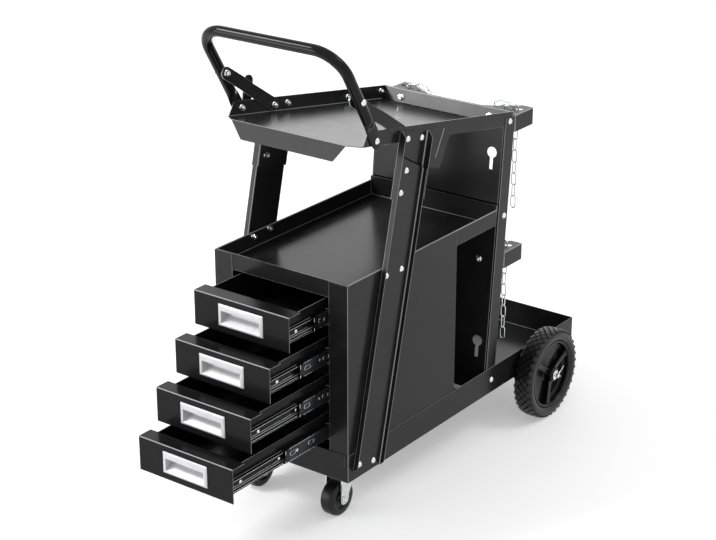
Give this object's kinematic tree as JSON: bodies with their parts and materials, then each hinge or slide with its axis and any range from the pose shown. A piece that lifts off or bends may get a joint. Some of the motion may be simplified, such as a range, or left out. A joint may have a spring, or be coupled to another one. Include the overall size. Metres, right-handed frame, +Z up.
{
  "type": "welding cart",
  "caption": "Black sheet-steel welding cart with a sloping top tray, middle shelf, drawers, bottle tray with chains, bent tube handle, rear wheels and swivel casters.",
  "frame": {"origin": "on the floor under the middle of the cart's box, with the drawers standing out as at rest", "axes": "+Z up, -Y towards the drawers and handle, +Y towards the bottle tray, +X to the right seen from the drawers"},
  "size_m": [0.48, 1.1688, 1.0106],
  "materials": {
    "black_powder_coat": "semi-gloss",
    "satin_silver": "satin",
    "zinc_plate": "bright zinc",
    "black_zinc_slide": "black zinc",
    "tyre_rubber": "matte",
    "black_polymer": "satin",
    "caster_rubber": "satin"
  },
  "bodies": {
    "cart_frame": {"base_pan": "black_powder_coat", "right_side_panel": "black_powder_coat", "left_side_panel": "black_powder_coat", "cabinet_back_panel": "black_powder_coat", "middle_shelf": "black_powder_coat", "right_rear_post": "black_powder_coat", "left_rear_post": "black_powder_coat", "rear_lower_panel": "black_powder_coat", "rear_upper_panel": "black_powder_coat", "upper_tank_bracket": "black_powder_coat", "lower_tank_bracket": "black_powder_coat", "top_tray": "black_powder_coat", "right_upper_strut": "black_powder_coat", "left_upper_strut": "black_powder_coat", "right_lower_strut": "black_powder_coat", "left_lower_strut": "black_powder_coat", "handle_bar": "black_powder_coat", "right_handle_brace": "black_powder_coat", "left_handle_brace": "black_powder_coat", "cable_hook": "black_powder_coat", "rear_axle": "zinc_plate", "right_axle_bracket": "black_powder_coat", "left_axle_bracket": "black_powder_coat", "right_axle_washer": "zinc_plate", "left_axle_washer": "zinc_plate", "right_split_pin": "zinc_plate", "left_split_pin": "zinc_plate", "right_caster_plate": "zinc_plate", "left_caster_plate": "zinc_plate"},
    "drawer_unit_1": {"drawer_1": "black_powder_coat", "drawer_pull_1": "satin_silver"},
    "runner_pair_1": {"right_runner_1": "black_zinc_slide", "left_runner_1": "black_zinc_slide"},
    "drawer_unit_2": {"drawer_2": "black_powder_coat", "drawer_pull_2": "satin_silver"},
    "runner_pair_2": {"right_runner_2": "black_zinc_slide", "left_runner_2": "black_zinc_slide"},
    "drawer_unit_3": {"drawer_3": "black_powder_coat", "drawer_pull_3": "satin_silver"},
    "runner_pair_3": {"right_runner_3": "black_zinc_slide", "left_runner_3": "black_zinc_slide"},
    "drawer_unit_4": {"drawer_4": "black_powder_coat", "drawer_pull_4": "satin_silver"},
    "runner_pair_4": {"right_runner_4": "black_zinc_slide", "left_runner_4": "black_zinc_slide"},
    "right_rear_wheel": {"right_rear_tyre": "tyre_rubber", "right_wheel_rim": "black_polymer"},
    "right_caster_swivel": {"right_caster_fork": "zinc_plate", "right_caster_axle": "zinc_plate"},
    "right_caster_roller": {"right_caster_wheel": "caster_rubber"},
    "left_rear_wheel": {"left_rear_tyre": "tyre_rubber", "left_wheel_rim": "black_polymer"},
    "left_caster_swivel": {"left_caster_fork": "zinc_plate", "left_caster_axle": "zinc_plate"},
    "left_caster_roller": {"left_caster_wheel": "caster_rubber"},
    "upper_chain_span": {"upper_chain_drape": "zinc_plate"},
    "upper_chain_end": {"upper_chain_tail": "zinc_plate"},
    "lower_chain_span": {"lower_chain_drape": "zinc_plate"},
    "lower_chain_end": {"lower_chain_tail": "zinc_plate"}
  },
  "joints": [
    {"name": "drawer_1_slide", "type": "slide", "parent": "cart_frame", "child": "drawer_unit_1", "axis": [0, -1, 0], "range_m": [-0.118, 0.222]},
    {"name": "runner_1_slide", "type": "slide", "parent": "cart_frame", "child": "runner_pair_1", "axis": [0, -1, 0], "range_m": [-0.059, 0.111]},
    {"name": "drawer_2_slide", "type": "slide", "parent": "cart_frame", "child": "drawer_unit_2", "axis": [0, -1, 0], "range_m": [-0.178, 0.162]},
    {"name": "runner_2_slide", "type": "slide", "parent": "cart_frame", "child": "runner_pair_2", "axis": [0, -1, 0], "range_m": [-0.089, 0.081]},
    {"name": "drawer_3_slide", "type": "slide", "parent": "cart_frame", "child": "drawer_unit_3", "axis": [0, -1, 0], "range_m": [-0.237, 0.103]},
    {"name": "runner_3_slide", "type": "slide", "parent": "cart_frame", "child": "runner_pair_3", "axis": [0, -1, 0], "range_m": [-0.1185, 0.0515]},
    {"name": "drawer_4_slide", "type": "slide", "parent": "cart_frame", "child": "drawer_unit_4", "axis": [0, -1, 0], "range_m": [-0.292, 0.048]},
    {"name": "runner_4_slide", "type": "slide", "parent": "cart_frame", "child": "runner_pair_4", "axis": [0, -1, 0], "range_m": [-0.146, 0.024]},
    {"name": "right_rear_wheel_spin", "type": "hinge", "parent": "cart_frame", "child": "right_rear_wheel", "pos_m": [0.205, 0.4094, 0.104], "axis": [1, 0, 0], "continuous": true},
    {"name": "right_caster_turn", "type": "hinge", "parent": "cart_frame", "child": "right_caster_swivel", "pos_m": [0.104, -0.2166, 0.1], "axis": [0, 0, 1], "continuous": true},
    {"name": "right_caster_roll", "type": "hinge", "parent": "right_caster_swivel", "child": "right_caster_roller", "pos_m": [0.104, -0.2406, 0.039], "axis": [1, 0, 0], "continuous": true},
    {"name": "left_rear_wheel_spin", "type": "hinge", "parent": "cart_frame", "child": "left_rear_wheel", "pos_m": [-0.205, 0.4094, 0.104], "axis": [1, 0, 0], "continuous": true},
    {"name": "left_caster_turn", "type": "hinge", "parent": "cart_frame", "child": "left_caster_swivel", "pos_m": [-0.104, -0.2166, 0.1], "axis": [0, 0, 1], "continuous": true},
    {"name": "left_caster_roll", "type": "hinge", "parent": "left_caster_swivel", "child": "left_caster_roller", "pos_m": [-0.104, -0.2406, 0.039], "axis": [1, 0, 0], "continuous": true},
    {"name": "upper_chain_rock", "type": "hinge", "parent": "cart_frame", "child": "upper_chain_span", "pos_m": [0, 0.3483, 0.73125], "axis": [1, 0, 0], "range_deg": [-10, 18]},
    {"name": "upper_chain_swing", "type": "hinge", "parent": "upper_chain_span", "child": "upper_chain_end", "pos_m": [0.142, 0.3483, 0.713], "axis": [1, 0, 0], "range_deg": [-10, 60]},
    {"name": "lower_chain_rock", "type": "hinge", "parent": "cart_frame", "child": "lower_chain_span", "pos_m": [0, 0.3213, 0.42775], "axis": [1, 0, 0], "range_deg": [-10, 18]},
    {"name": "lower_chain_swing", "type": "hinge", "parent": "lower_chain_span", "child": "lower_chain_end", "pos_m": [0.142, 0.3213, 0.4095], "axis": [1, 0, 0], "range_deg": [-10, 60]}
  ],
  "couplings": [
    {"joint": "runner_1_slide", "follows": "drawer_1_slide", "ratio": 0.5},
    {"joint": "runner_2_slide", "follows": "drawer_2_slide", "ratio": 0.5},
    {"joint": "runner_3_slide", "follows": "drawer_3_slide", "ratio": 0.5},
    {"joint": "runner_4_slide", "follows": "drawer_4_slide", "ratio": 0.5}
  ]
}
